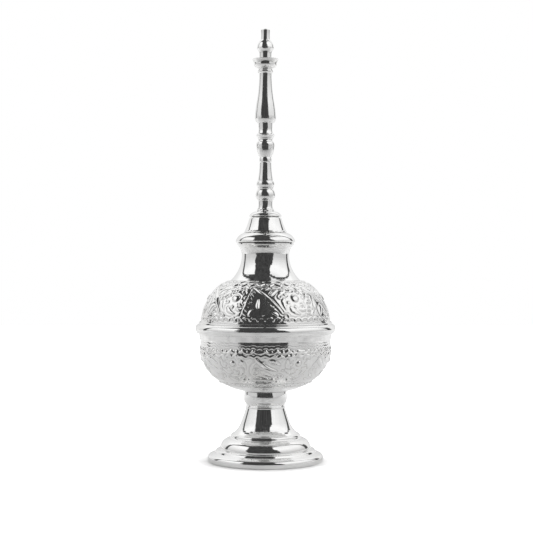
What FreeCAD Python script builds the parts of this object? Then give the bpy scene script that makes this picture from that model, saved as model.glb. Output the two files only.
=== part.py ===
import FreeCAD, Part

import math
import os
import re

import Sketcher

# A silver-plated brass rose-water sprinkler. A spun foot is bolted under a two-part belly, a
# flared neck is soldered on top, and a cap with a tall hollow spout screws into the neck. The
# perforated tip screws into the top of the spout. Everything is turned or spun about +Z, and
# the foot stands on z = 0. Lengths are in millimetres.

SIZES = [
    # general
    ("wall", 0.8, "thickness of the spun sheet"),
    ("solder_gap", 0.05, "room left between two soldered faces"),
    # foot
    ("foot_r", 33.4, "outside of the foot's edge"),
    ("foot_edge_z", 2.4, "top of the foot's upright edge"),
    ("foot_land", 2.4, "width of the flat ring that the foot stands on, with its round corner"),
    ("foot_step_r", 28.9, "riser between the foot's edge and its large moulding"),
    ("foot_step_z", 5.5, "bottom of that riser"),
    ("foot_torus_r", 26.3, "large moulding"),
    ("foot_torus_z", 7.0, "bottom of the large moulding"),
    ("foot_ring_r", 20.3, "ring under the stem"),
    ("foot_ring_z", 14.3, "bottom of that ring"),
    ("stem_r", 11.3, "stem where it is slimmest"),
    ("stem_z", 30.8, "top of the stem's flare"),
    ("foot_top_z", 32.6, "flat top of the foot, under the collar"),
    ("collar_r", 12.4, "collar between foot and belly"),
    ("collar_taper_z", 35.3, "top of the collar's taper"),
    # belly
    ("bowl_r", 37.8, "lower bowl at its rim"),
    ("bowl_floor_z", 40.3, "underside of the bowl's flat floor"),
    ("bowl_turn_z", 66.0, "where the bowl's upright wall starts to curve in"),
    ("seam_z", 76.3, "seam between the two halves of the belly"),
    ("seam_gap", 0.2, "gap between their edges, filled with solder"),
    ("dome_r", 37.6, "upper dome at its rim"),
    ("dome_top_z", 104.3, "shoulder that the neck stands on"),
    ("dome_mouth_r", 20.8, "outside of that shoulder"),
    ("band_r", 40.7, "belly band's round bead"),
    ("band_z", 76.4, "middle of the bead"),
    ("band_foot_z", 70.6, "lower edge of the band"),
    ("band_top_z", 80.6, "upper edge of the band"),
    # neck
    ("neck_r", 13.7, "neck where it is slimmest"),
    ("neck_waist_z", 119.2, "height of the neck's waist"),
    ("neck_flare", 19.9, "radius of the curve from waist to shoulder"),
    ("lip_curve", 8.2, "radius of the curve from waist to lip"),
    ("lip_r", 16.35, "neck's lip"),
    ("lip_z", 126.0, "top of the lip, where the gasket seats"),
    # cap and its thread
    ("cap_pitch", 2.0, "pitch of the cap's thread"),
    ("cap_turns", 3.0, "turns of thread on each ring"),
    ("cap_thread_z", 118.0, "middle of the male thread's first turn"),
    ("cap_core_r", 10.4, "root of the male thread"),
    ("cap_bore_r", 8.6, "bore of the male ring"),
    ("neck_core_r", 11.9, "root of the female thread"),
    ("tooth_h", 1.15, "height of each thread's tooth"),
    ("gasket_t", 0.8, "thickness of the cap gasket"),
    ("cap_rim_r", 17.15, "cap's rounded rim"),
    ("cap_ledge_z", 131.9, "flat top of the rim, under the bell"),
    ("bell_foot_r", 12.35, "bell at its foot"),
    ("bell_head_r", 9.35, "bell below its rounded top"),
    ("bell_top_z", 141.4, "flat top of the bell"),
    ("top_collar_r", 9.35, "domed collar on the bell"),
    ("top_collar_z", 144.4, "top of that collar"),
    # spout
    ("spout_bore_r", 2.0, "bore of the lower spout"),
    ("tenon_r", 3.5, "tenon that goes through the collar and the bell"),
    ("slim_r", 4.1, "spout at its slim neck over the cap"),
    ("knop_r", 5.7, "spout's lowest knop"),
    ("knop_z", 153.7, "middle of that knop"),
    ("lower_ring_r", 5.1, "ring over the lowest knop"),
    ("lower_ring_z", 159.5, "middle of that ring"),
    ("joint_z", 172.9, "bottom of the ferrule that joins the two lengths of spout"),
    ("joint_h", 2.8, "height of the ferrule"),
    ("joint_r", 3.4, "spout beside the ferrule"),
    ("spigot_r", 2.75, "spigot that joins the two lengths"),
    ("bulb_r", 5.2, "spout's middle bulb"),
    ("bulb_z", 182.0, "middle of that bulb"),
    ("pear_r", 6.12, "pear-shaped swelling"),
    ("pear_z", 199.6, "widest point of the pear"),
    ("pear_foot_z", 195.8, "underside of the pear"),
    ("upper_slim_r", 3.55, "spout under the cup"),
    ("spout_top_z", 227.8, "top of the spout, under the cup"),
    ("cup_r", 7.55, "rim of the drip cup"),
    ("cup_z", 232.6, "height of that rim"),
    # tip
    ("tip_pitch", 1.0, "pitch of the tip's thread"),
    ("tip_turns", 4.0, "turns of thread on the tip"),
    ("tip_thread_z", 223.0, "middle of the tip thread's first turn"),
    ("tip_core_r", 1.95, "root of the tip's thread"),
    ("tip_socket_r", 2.75, "root of the thread inside the spout"),
    ("tip_tooth_h", 0.55, "height of those threads' teeth"),
    ("tip_bore_r", 1.2, "bore of the tip"),
    ("tip_washer_t", 0.6, "thickness of the tip's washer"),
    ("tip_neck_r", 3.5, "tip below its bulb"),
    ("tip_bulb_r", 4.85, "tip's bulb"),
    ("tip_bulb_z", 239.2, "middle of the tip's bulb"),
    ("tip_end_r", 2.6, "tip's outlet"),
    ("total_z", 250.0, "overall height"),
    ("jet_r", 0.4, "radius of each sprinkling hole"),
    ("jet_ring_r", 1.25, "circle of the outer sprinkling holes"),
    ("jet_count", 5, "number of outer sprinkling holes"),
    # the bolt that holds foot and belly together
    ("bolt_r", 2.5, "bolt's shank"),
    ("bolt_end_z", 23.0, "lower end of the bolt"),
    ("bolt_head_r", 7.0, "bolt's round head"),
    ("bolt_head_h", 2.4, "height of that head"),
    ("bolt_pitch", 0.8, "pitch of the bolt's thread"),
    ("bolt_turns", 3.0, "turns of thread that show under the nut"),
    ("washer_t", 0.8, "thickness of the seal and of the clamping washer"),
    ("nut_flats", 8.0, "nut across its flats"),
    ("nut_h", 4.0, "height of the nut"),
]

doc = FreeCAD.newDocument("rose_water_sprinkler")
sheet = doc.addObject("Spreadsheet::Sheet", "Sizes")
for row, (alias, value, meaning) in enumerate(SIZES, start=1):
    sheet.set(f"A{row}", meaning)
    sheet.set(f"B{row}", str(value))
    sheet.setAlias(f"B{row}", alias)
doc.recompute()

NAMES = re.compile(r"\b(" + "|".join(sorted((s[0] for s in SIZES), key=len, reverse=True)) + r")\b")
UPRIGHT = FreeCAD.Rotation(FreeCAD.Vector(1, 0, 0), 90)
subparts = []


def bound(text):
    """An expression on the names in SIZES, as FreeCAD reads it."""
    return NAMES.sub(r"Sizes.\1", str(text))


def number(text):
    """What that expression is worth now, in millimetres."""
    return float(sheet.evalExpression(bound(text)))


def keep(obj, label):
    """Makes obj a sub-part. Its Label names its file."""
    obj.Label = label
    subparts.append(obj)
    return obj


# ---------------------------------------------------------------- outlines


def turn(vector, degrees):
    a = math.radians(degrees)
    return FreeCAD.Vector(
        vector.x * math.cos(a) - vector.y * math.sin(a), vector.x * math.sin(a) + vector.y * math.cos(a), 0
    )


def arc_by_radius(start, end, radius):
    """The shorter arc from start to end. A positive radius turns left, a negative one right."""
    chord = end - start
    half = chord.Length / 2
    reach = math.sqrt(max(radius * radius - half * half, 0.0))
    side = turn(chord, 90).normalize()
    sign = 1 if radius > 0 else -1
    centre = start + chord * 0.5 + side * reach * sign
    middle = centre - side * abs(radius) * sign
    return Part.Arc(start, middle, end)


def arc_by_tangent(start, end, heading):
    """The arc that leaves start along heading and reaches end."""
    chord = end - start
    across = turn(heading, 90).normalize()
    radius = chord.Length**2 / (2 * chord.dot(across))
    return arc_by_radius(start, end, radius)


def heading_after(curve, end):
    """The direction of travel at the end of a line or an arc, which may be stored either way."""
    forward = (curve.value(curve.LastParameter) - end).Length < 1e-6
    at = curve.LastParameter if forward else curve.FirstParameter
    tangent = FreeCAD.Vector(curve.tangent(at)[0])
    return tangent if forward else tangent * -1


def draw(sketch, start, steps, closed=True):
    """Draws an outline of (radius, height) points and ties every point to the sheet.

    A step is ("line", r, z), ("arc", r, z, radius) or ("smooth", r, z). A smooth step is an arc
    that carries on in the direction of the step before it. A closed outline ends at its start.
    """
    first = FreeCAD.Vector(number(start[0]), number(start[1]), 0)
    at, heading, ties = first, None, []
    if closed:
        steps = [*steps, ("line", *start)]
    for index, step in enumerate(steps):
        end = FreeCAD.Vector(number(step[1]), number(step[2]), 0)
        if step[0] == "line":
            curve = Part.LineSegment(at, end)
        elif step[0] == "arc":
            curve = arc_by_radius(at, end, number(step[3]))
        else:
            curve = arc_by_tangent(at, end, heading)
        heading = heading_after(curve, end)
        sketch.addGeometry(curve, False)
        swapped = (sketch.getPoint(index, 1) - at).Length > 1e-6
        ties.append((2, 1) if swapped else (1, 2))
        at = end
    for index, step in enumerate(steps):
        begin_pos, end_pos = ties[index]
        if index == 0:
            place_point(sketch, index, begin_pos, start[0], start[1])
        else:
            kind = "Tangent" if step[0] == "smooth" else "Coincident"
            sketch.addConstraint(Sketcher.Constraint(kind, index - 1, ties[index - 1][1], index, begin_pos))
        if closed and index == len(steps) - 1:
            sketch.addConstraint(Sketcher.Constraint("Coincident", index, end_pos, 0, ties[0][0]))
        else:
            place_point(sketch, index, end_pos, step[1], step[2])
        if step[0] == "arc":
            radius = sketch.addConstraint(Sketcher.Constraint("Radius", index, abs(number(step[3]))))
            sketch.setExpression(f"Constraints[{radius}]", f"abs({bound(step[3])})")


def place_point(sketch, curve, pos, r, z):
    """Ties one end of a curve to its radius and height on the sheet."""
    for kind, text, axis in (("DistanceX", r, -2), ("DistanceY", z, -1)):
        value = number(text)
        if abs(value) < 1e-9:
            sketch.addConstraint(Sketcher.Constraint("PointOnObject", curve, pos, axis))
        else:
            tie = sketch.addConstraint(Sketcher.Constraint(kind, -1, 1, curve, pos, value))
            sketch.setExpression(f"Constraints[{tie}]", bound(text))


# ---------------------------------------------------------------- ways of making a piece


def spun(label, start, steps, side=1):
    """A piece spun from sheet: an open outline of its outside, the sheet's thickness, a full turn.

    side 1 puts the metal on the left of the outline's direction, and side -1 on its right.
    """
    outline = doc.addObject("Sketcher::SketchObject", label + "_outline")
    outline.Placement = FreeCAD.Placement(FreeCAD.Vector(), UPRIGHT)
    draw(outline, start, steps, closed=False)
    strip = doc.addObject("Part::Offset2D", label + "_sheet")
    strip.Source = outline
    strip.Mode = "Skin"
    strip.Join = "Arc"
    strip.Fill = True
    strip.setExpression("Value", f"{side} * Sizes.wall")
    piece = doc.addObject("Part::Revolution", label + "_spun")
    piece.Source = strip
    piece.Axis = FreeCAD.Vector(0, 0, 1)
    piece.Angle = 360
    piece.Solid = True
    return piece


def origin_plane(body, role):
    return next(f for f in body.Origin.OriginFeatures if f.Role == role)


def sketch_in(body, name, role="XZ_Plane"):
    sketch = body.newObject("Sketcher::SketchObject", name)
    sketch.AttachmentSupport = [(origin_plane(body, role), "")]
    sketch.MapMode = "FlatFace"
    return sketch


def turned(label, start, steps):
    """A piece turned on a lathe: a closed outline and a full turn."""
    body = keep(doc.addObject("PartDesign::Body", label + "_body"), label)
    outline = sketch_in(body, label + "_outline")
    draw(outline, start, steps)
    piece = body.newObject("PartDesign::Revolution", label + "_turning")
    piece.Profile = outline
    piece.ReferenceAxis = (outline, ["V_Axis"])
    piece.Angle = 360
    return body


def ring(label, inner, outer, bottom, top):
    """A plain flat ring."""
    sides = [("line", outer, bottom), ("line", outer, top), ("line", inner, top)]
    return turned(label, (inner, bottom), sides)


def add_thread(body, root, crest, first_z, pitch, turns, base=0.6, tip=0.25):
    """Adds a right-handed helical tooth from root to crest. Its widths are parts of the pitch."""
    name = body.Label + "_tooth"
    tooth = sketch_in(body, name)
    inset = f"({root}) + 0.1 * (({root}) - ({crest})) / abs(({root}) - ({crest}))"
    half_base, half_tip = f"{base / 2} * {pitch}", f"{tip / 2} * {pitch}"
    draw(
        tooth,
        (inset, f"{first_z} - {half_base}"),
        [
            ("line", crest, f"{first_z} - {half_tip}"),
            ("line", crest, f"{first_z} + {half_tip}"),
            ("line", inset, f"{first_z} + {half_base}"),
        ],
    )
    helix = body.newObject("PartDesign::AdditiveHelix", body.Label + "_thread")
    helix.Profile = tooth
    helix.ReferenceAxis = (tooth, ["V_Axis"])
    helix.Mode = "pitch-height-angle"
    helix.setExpression("Pitch", bound(pitch))
    helix.setExpression("Height", bound(f"{pitch} * {turns}"))
    body.Tip = helix
    return helix


# ---------------------------------------------------------------- foot


def make_foot_shell():
    """The spun foot: a flat land, an upright edge, mouldings, a flared stem and a pierced top."""
    shell = spun(
        "foot_shell",
        ("foot_r - foot_land", "0"),
        [
            ("line", "foot_r - 1", "0"),
            ("smooth", "foot_r", "1"),
            ("line", "foot_r", "foot_edge_z"),
            ("smooth", "foot_r - 1.4", "foot_edge_z + 2.1"),
            ("smooth", "foot_step_r + 0.3", "foot_step_z"),
            ("line", "foot_step_r", "foot_step_z + 0.75"),
            ("smooth", "foot_torus_r + 0.5", "foot_torus_z - 0.15"),
            ("line", "foot_torus_r", "foot_torus_z"),
            ("arc", "foot_ring_r + 1.4", "foot_ring_z - 0.9", "6.0"),
            ("arc", "foot_ring_r", "foot_ring_z + 0.1", "-1.3"),
            ("arc", "foot_ring_r - 1.5", "foot_ring_z + 1.85", "1.7"),
            ("line", "foot_ring_r - 1.9", "foot_ring_z + 2.15"),
            ("arc", "stem_r + 3.0", "foot_ring_z + 8.0", "-13.4"),
            ("smooth", "stem_r + 0.15", "stem_z"),
            ("arc", "stem_r - 0.1", "stem_z + 1.3", "1.2"),
            ("line", "stem_r - 0.3", "foot_top_z"),
            ("line", "bolt_r + 0.3", "foot_top_z"),
        ],
    )
    keep(shell, "foot_shell")


def make_foot_collar():
    """The ferrule between the foot's flat top and the underside of the bowl."""
    turned(
        "foot_collar",
        ("collar_r - 1.6", "foot_top_z"),
        [
            ("line", "stem_r + 0.05", "foot_top_z"),
            ("line", "stem_r + 0.15", "foot_top_z + 0.6"),
            ("arc", "collar_r", "collar_taper_z", "3.0"),
            ("line", "collar_r", "bowl_floor_z + 0.2"),
            ("line", "collar_r - 1.6", "bowl_floor_z + 0.1"),
        ],
    )


def make_bolt():
    """The round-headed bolt that clamps bowl, collar and foot, with the thread that shows."""
    head_z = "bowl_floor_z + wall + washer_t"
    dome_h = "(bolt_head_h - 0.6)"
    body = turned(
        "foot_bolt",
        ("0", "bolt_end_z"),
        [
            ("line", "bolt_r - 0.9", "bolt_end_z"),
            ("line", "bolt_r - 0.4", "bolt_end_z + 0.5"),
            ("line", "bolt_r - 0.4", "foot_top_z - wall - washer_t - nut_h"),
            ("line", "bolt_r", "foot_top_z - wall - washer_t - nut_h"),
            ("line", "bolt_r", head_z),
            ("line", "bolt_head_r", head_z),
            ("line", "bolt_head_r", f"{head_z} + 0.6"),
            ("arc", "0", f"{head_z} + bolt_head_h", f"(bolt_head_r ^ 2 + {dome_h} ^ 2) / (2 * {dome_h})"),
        ],
    )
    add_thread(body, "bolt_r - 0.4", "bolt_r - 0.05", "bolt_end_z + 0.9", "bolt_pitch", "bolt_turns", 0.8)
    ring("bolt_seal", "bolt_r + 0.2", "bolt_head_r + 1.2", "bowl_floor_z + wall", head_z)
    under_top = "foot_top_z - wall"
    ring("foot_washer", "bolt_r + 0.2", "stem_r - wall - 1", f"{under_top} - washer_t", under_top)


def make_nut():
    """The hexagon nut under the clamping washer, with both faces chamfered."""
    body = keep(doc.addObject("PartDesign::Body", "foot_nut_body"), "foot_nut")
    plan = sketch_in(body, "foot_nut_plan", "XY_Plane")
    corner_r = number("nut_flats / sqrt(3)")
    corners = [turn(FreeCAD.Vector(corner_r, 0, 0), 60 * i) for i in range(6)]
    for i in range(6):
        plan.addGeometry(Part.LineSegment(corners[i], corners[(i + 1) % 6]), False)
    circle = plan.addGeometry(Part.Circle(FreeCAD.Vector(), FreeCAD.Vector(0, 0, 1), corner_r), True)
    for i in range(6):
        plan.addConstraint(Sketcher.Constraint("Coincident", i, 2, (i + 1) % 6, 1))
        plan.addConstraint(Sketcher.Constraint("PointOnObject", i, 1, circle))
    for i in range(5):
        plan.addConstraint(Sketcher.Constraint("Equal", i, i + 1))
    plan.addConstraint(Sketcher.Constraint("Coincident", circle, 3, -1, 1))
    plan.addConstraint(Sketcher.Constraint("PointOnObject", 0, 1, -1))
    size = plan.addConstraint(Sketcher.Constraint("Radius", circle, corner_r))
    plan.setExpression(f"Constraints[{size}]", bound("nut_flats / sqrt(3)"))
    block = body.newObject("PartDesign::Pad", "foot_nut_block")
    block.Profile = plan
    block.setExpression("Length", bound("nut_h"))
    bore_plan = sketch_in(body, "foot_nut_bore_plan", "XY_Plane")
    bore_plan.addGeometry(Part.Circle(FreeCAD.Vector(), FreeCAD.Vector(0, 0, 1), number("bolt_r")), False)
    bore_plan.addConstraint(Sketcher.Constraint("Coincident", 0, 3, -1, 1))
    bore_r = bore_plan.addConstraint(Sketcher.Constraint("Radius", 0, number("bolt_r")))
    bore_plan.setExpression(f"Constraints[{bore_r}]", bound("bolt_r + solder_gap"))
    bore = body.newObject("PartDesign::Pocket", "foot_nut_bore")
    bore.Profile = bore_plan
    bore.Type = "ThroughAll"
    bore.Reversed = True
    bevel_outline = sketch_in(body, "foot_nut_bevel_outline")
    draw(
        bevel_outline,
        ("nut_flats / 2", "0"),
        [("line", "nut_flats", "0"), ("line", "nut_flats", "(nut_flats / 2) * 0.58")],
    )
    bevel = body.newObject("PartDesign::Groove", "foot_nut_bevel")
    bevel.Profile = bevel_outline
    bevel.ReferenceAxis = (bevel_outline, ["V_Axis"])
    bevel.Angle = 360
    body.Tip = bevel
    body.setExpression("Placement.Base.z", bound("foot_top_z - wall - washer_t - nut_h"))


# ---------------------------------------------------------------- belly and neck


def make_belly():
    """The two spun halves of the belly and the turned band over their seam."""
    bowl = spun(
        "lower_bowl",
        ("bolt_r + 0.3", "bowl_floor_z"),
        [
            ("line", "bolt_head_r + 2", "bowl_floor_z"),
            ("line", "collar_r - 0.4", "bowl_floor_z + 0.25"),
            ("arc", "bowl_r - 7.5", "bowl_turn_z - 17", "34.4"),
            ("smooth", "bowl_r", "bowl_turn_z"),
            ("line", "bowl_r", "seam_z - seam_gap / 2"),
        ],
    )
    keep(bowl, "lower_bowl")
    dome = spun(
        "upper_dome",
        ("dome_r", "seam_z + seam_gap / 2"),
        [
            ("line", "dome_r", "seam_z + 1.2"),
            ("smooth", "dome_r - 6.6", "dome_top_z - 7"),
            ("smooth", "dome_mouth_r", "dome_top_z"),
            ("line", "dome_mouth_r - 1.85", "dome_top_z"),
            ("line", "dome_mouth_r - 3.55", "dome_top_z + 2"),
        ],
    )
    keep(dome, "upper_dome")
    bore = "bowl_r + solder_gap"
    turned(
        "belly_band",
        (bore, "band_foot_z"),
        [
            ("line", f"{bore} + 0.25", "band_foot_z"),
            ("line", "band_r - 2.1", "band_z - 2.9"),
            ("arc", "band_r - 1.9", "band_z + 2.9", "3.1"),
            ("line", "band_r - 2.2", "band_z + 3.0"),
            ("line", "band_r - 2.2", "band_top_z - 0.6"),
            ("smooth", f"{bore} + 0.2", "band_top_z"),
            ("line", bore, "band_top_z"),
        ],
    )


def make_neck():
    """The flared neck, cut level where it stands on the dome's shoulder."""
    reach = "neck_r + neck_flare - dome_mouth_r"
    flare = spun(
        "neck",
        ("lip_r", "lip_z"),
        [
            ("line", "lip_r", "lip_z - 0.8"),
            ("arc", "neck_r", "neck_waist_z", "lip_curve"),
            ("arc", "dome_mouth_r", f"neck_waist_z - sqrt(neck_flare ^ 2 - ({reach}) ^ 2)", "neck_flare"),
        ],
        side=-1,
    )
    level = doc.addObject("Part::Cylinder", "neck_level")
    level.setExpression("Radius", bound("dome_r"))
    level.setExpression("Height", bound("wall * 5"))
    level.setExpression("Placement.Base.z", bound("dome_top_z + solder_gap - wall * 5"))
    neck = doc.addObject("Part::Cut", "neck_cut")
    neck.Base = flare
    neck.Tool = level
    keep(neck, "neck")


def make_neck_ring():
    """The female ring soldered inside the neck. Its outside follows the neck's inner face."""
    follow = "lip_curve + wall + solder_gap"
    top_r = "lip_r - wall - solder_gap"
    reach = f"neck_r + lip_curve - ({top_r})"
    body = turned(
        "neck_thread_ring",
        ("neck_core_r", "cap_thread_z - 4"),
        [
            ("line", f"neck_r + lip_curve - ({follow})", "cap_thread_z - 4"),
            ("line", f"neck_r + lip_curve - ({follow})", "neck_waist_z"),
            ("arc", top_r, f"neck_waist_z + sqrt(({follow}) ^ 2 - ({reach}) ^ 2)", f"-({follow})"),
            ("line", top_r, "lip_z"),
            ("line", "neck_core_r + 0.4", "lip_z"),
            ("line", "neck_core_r", "lip_z - 0.6"),
        ],
    )
    crest = "neck_core_r - tooth_h"
    add_thread(body, "neck_core_r", crest, "cap_thread_z - cap_pitch / 2", "cap_pitch", "cap_turns")


# ---------------------------------------------------------------- cap


def make_cap_ring():
    """The male ring under the cap: a wide flange that presses the gasket, and a threaded tube."""
    body = turned(
        "cap_thread_ring",
        ("cap_bore_r", "cap_thread_z - 1"),
        [
            ("line", "cap_core_r - 0.5", "cap_thread_z - 1"),
            ("line", "cap_core_r", "cap_thread_z - 0.5"),
            ("line", "cap_core_r", "lip_z + gasket_t"),
            ("line", "cap_rim_r - wall - 0.35", "lip_z + gasket_t"),
            ("line", "cap_rim_r - wall - 0.35", "lip_z + gasket_t + 1.2"),
            ("line", "cap_bore_r", "lip_z + gasket_t + 1.2"),
        ],
    )
    add_thread(body, "cap_core_r", "cap_core_r + tooth_h", "cap_thread_z", "cap_pitch", "cap_turns")
    ring("cap_gasket", "cap_core_r + tooth_h + 0.2", "lip_r - wall - 0.15", "lip_z", "lip_z + gasket_t")


def make_cap_shells():
    """The spun rim and bell of the cap, and the domed collar that the spout stands on."""
    rim = spun(
        "cap_rim",
        ("bell_foot_r - 1.4", "cap_ledge_z"),
        [
            ("line", "bell_foot_r + 0.25", "cap_ledge_z"),
            ("arc", "cap_rim_r - 0.45", "cap_ledge_z - 3.3", "-7.0"),
            ("smooth", "cap_rim_r", "cap_ledge_z - 4.6"),
            ("smooth", "cap_rim_r - 0.7", "lip_z + 0.35"),
        ],
        side=-1,
    )
    keep(rim, "cap_rim")
    bell = spun(
        "cap_bell",
        ("tenon_r + 0.1", "bell_top_z"),
        [
            ("line", "bell_head_r - 1.85", "bell_top_z"),
            ("smooth", "bell_head_r", "bell_top_z - 1.25"),
            ("arc", "bell_foot_r", "cap_ledge_z + 0.35", "42"),
        ],
        side=-1,
    )
    keep(bell, "cap_bell")
    turned(
        "cap_top_collar",
        ("tenon_r + solder_gap", "bell_top_z"),
        [
            ("line", "top_collar_r - 0.5", "bell_top_z"),
            ("smooth", "top_collar_r", "bell_top_z + 0.45"),
            ("arc", "slim_r + 1.2", "top_collar_z - 0.1", "4.4"),
            ("line", "slim_r + 1.2", "top_collar_z"),
            ("line", "tenon_r + solder_gap", "top_collar_z"),
        ],
    )


# ---------------------------------------------------------------- spout


def make_lower_spout():
    """The lower length of cast spout: tenon, slim neck, knop, ring, taper and spigot."""
    turned(
        "spout_lower",
        ("spout_bore_r", "bell_top_z - 2"),
        [
            ("line", "tenon_r", "bell_top_z - 2"),
            ("line", "tenon_r", "top_collar_z"),
            ("line", "slim_r + 0.9", "top_collar_z"),
            ("line", "slim_r + 0.8", "top_collar_z + 0.5"),
            ("arc", "slim_r", "top_collar_z + 3.6", "-7.0"),
            ("smooth", "slim_r + 0.1", "knop_z - 3.2"),
            ("arc", "slim_r + 0.15", "knop_z - 2.4", "0.55"),
            ("line", "slim_r + 0.7", "knop_z - 2.2"),
            ("arc", "knop_r", "knop_z", "3.4"),
            ("smooth", "slim_r + 0.3", "knop_z + 3.6"),
            ("line", "slim_r + 0.45", "knop_z + 4.1"),
            ("arc", "lower_ring_r", "lower_ring_z", "-3.0"),
            ("arc", "slim_r + 0.5", "lower_ring_z + 2.5", "2.8"),
            ("line", "slim_r + 0.25", "lower_ring_z + 2.7"),
            ("line", "slim_r + 0.2", "lower_ring_z + 3.6"),
            ("arc", "joint_r", "joint_z - 0.4", "-60"),
            ("line", "joint_r - 0.3", "joint_z"),
            ("line", "spigot_r", "joint_z"),
            ("line", "spigot_r", "joint_z + joint_h + 3"),
            ("line", "spout_bore_r", "joint_z + joint_h + 3"),
        ],
    )
    bore, foot, head = "spigot_r + solder_gap", "joint_z", "joint_z + joint_h"
    turned(
        "spout_ferrule",
        (bore, foot),
        [("line", "joint_r - 0.1", foot), ("arc", "joint_r - 0.1", head, "4.0"), ("line", bore, head)],
    )


def make_upper_spout():
    """The upper length: bulb, ring, slim neck, pear, long taper, and the tip's threaded socket."""
    foot = "joint_z + joint_h"
    body = turned(
        "spout_upper",
        ("spigot_r + solder_gap", foot),
        [
            ("line", "joint_r - 0.3", foot),
            ("line", "joint_r + 0.1", f"{foot} + 0.4"),
            ("arc", "bulb_r", "bulb_z", "16"),
            ("arc", "slim_r + 0.1", "bulb_z + 3.2", "3.0"),
            ("arc", "slim_r + 0.2", "bulb_z + 4.5", "-1.2"),
            ("arc", "bulb_r - 0.05", "bulb_z + 6.2", "-3.0"),
            ("smooth", "bulb_r - 0.15", "bulb_z + 6.9"),
            ("arc", "slim_r - 0.15", "bulb_z + 10.6", "-5.0"),
            ("smooth", "slim_r", "pear_foot_z - 0.2"),
            ("line", "slim_r + 0.7", "pear_foot_z"),
            ("arc", "pear_r", "pear_z", "5.0"),
            ("smooth", "pear_r - 1.1", "pear_z + 8.4"),
            ("smooth", "upper_slim_r", "spout_top_z - 5"),
            ("line", "upper_slim_r + 0.05", "spout_top_z - 3.4"),
            ("line", "upper_slim_r + 0.35", "spout_top_z - 3.1"),
            ("arc", "upper_slim_r + 0.35", "spout_top_z - 1.2", "1.1"),
            ("line", "upper_slim_r + 0.35", "spout_top_z - 0.9"),
            ("arc", "upper_slim_r + 0.5", "spout_top_z", "0.6"),
            ("line", "tip_socket_r", "spout_top_z"),
            ("line", "tip_socket_r", "tip_thread_z - 1.2"),
            ("line", "spout_bore_r - 0.2", "tip_thread_z - 2.2"),
            ("line", "spout_bore_r - 0.2", f"{foot} + 3.8"),
            ("line", "spigot_r + solder_gap", f"{foot} + 3.1"),
        ],
    )
    crest = "tip_socket_r - tip_tooth_h"
    add_thread(body, "tip_socket_r", crest, "tip_thread_z + tip_pitch / 2", "tip_pitch", "tip_turns - 1")
    cup = spun(
        "drip_cup",
        ("tip_socket_r", "spout_top_z"),
        [
            ("line", "cup_r - 3.0", "spout_top_z"),
            ("smooth", "cup_r - 1.0", "cup_z - 2.5"),
            ("arc", "cup_r", "cup_z", "-9"),
        ],
    )
    keep(cup, "drip_cup")


# ---------------------------------------------------------------- tip


def make_tip():
    """The tip: a threaded shank, a neck in the cup, a bulb, and an outlet closed by a pierced end."""
    seat = "spout_top_z + wall + tip_washer_t"
    ring("tip_washer", "tip_socket_r", "tip_neck_r + 0.6", "spout_top_z + wall", seat)
    body = turned(
        "sprinkler_tip",
        ("tip_bore_r", "tip_thread_z - 0.7"),
        [
            ("line", "tip_core_r - 0.2", "tip_thread_z - 0.7"),
            ("line", "tip_core_r", "tip_thread_z - 0.5"),
            ("line", "tip_core_r", seat),
            ("line", "tip_neck_r", seat),
            ("line", "tip_neck_r", "tip_bulb_z - 3.4"),
            ("arc", "tip_bulb_r", "tip_bulb_z - 0.4", "-5"),
            ("arc", "tip_bulb_r - 0.05", "tip_bulb_z + 0.6", "1.6"),
            ("arc", "tip_end_r + 0.15", "tip_bulb_z + 4.6", "7.0"),
            ("line", "tip_end_r", "tip_bulb_z + 4.8"),
            ("arc", "tip_end_r + 0.1", "total_z - 0.5", "-30"),
            ("line", "tip_end_r - 0.4", "total_z"),
            ("line", "0", "total_z"),
            ("line", "0", "total_z - wall"),
            ("line", "tip_end_r - wall", "total_z - wall"),
            ("line", "tip_end_r - wall", "tip_bulb_z"),
            ("line", "tip_bore_r", "tip_bulb_z - 1"),
        ],
    )
    add_thread(body, "tip_core_r", "tip_core_r + tip_tooth_h", "tip_thread_z", "tip_pitch", "tip_turns")
    drill_jets(body)


def drill_jets(body):
    """One sprinkling hole on the axis and a circle of others around it."""
    for name, offset in (("jet_middle", "0"), ("jet_outer", "jet_ring_r")):
        plan = sketch_in(body, name + "_plan", "XY_Plane")
        plan.setExpression("AttachmentOffset.Base.z", bound("total_z"))
        centre = FreeCAD.Vector(number(offset), 0, 0)
        plan.addGeometry(Part.Circle(centre, FreeCAD.Vector(0, 0, 1), number("jet_r")), False)
        radius = plan.addConstraint(Sketcher.Constraint("Radius", 0, number("jet_r")))
        plan.setExpression(f"Constraints[{radius}]", bound("jet_r"))
        place_point(plan, 0, 3, offset, "0")
        hole = body.newObject("PartDesign::Pocket", name)
        hole.Profile = plan
        hole.Type = "Length"
        hole.setExpression("Length", bound("wall * 2"))
    around = body.newObject("PartDesign::PolarPattern", "jet_circle")
    around.Originals = [hole]
    around.Axis = (plan, ["N_Axis"])
    around.Angle = 360
    around.setExpression("Occurrences", bound("jet_count"))
    body.Tip = around


# ---------------------------------------------------------------- build, test and write


def check():
    """Stops with a message if any object failed or any sub-part isn't a sound solid."""
    for obj in doc.Objects:
        bad = [s for s in obj.State if s in ("Invalid", "Error")]
        if bad:
            raise RuntimeError(f"{obj.Name} is {bad}")
        if obj.isDerivedFrom("Sketcher::SketchObject") and not obj.FullyConstrained:
            raise RuntimeError(f"{obj.Name} isn't fully constrained")
    for obj in subparts:
        shape = obj.Shape
        if shape.isNull() or not shape.isValid() or len(shape.Solids) != 1 or shape.Volume <= 0:
            raise RuntimeError(f"{obj.Label} isn't one valid solid")


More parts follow.
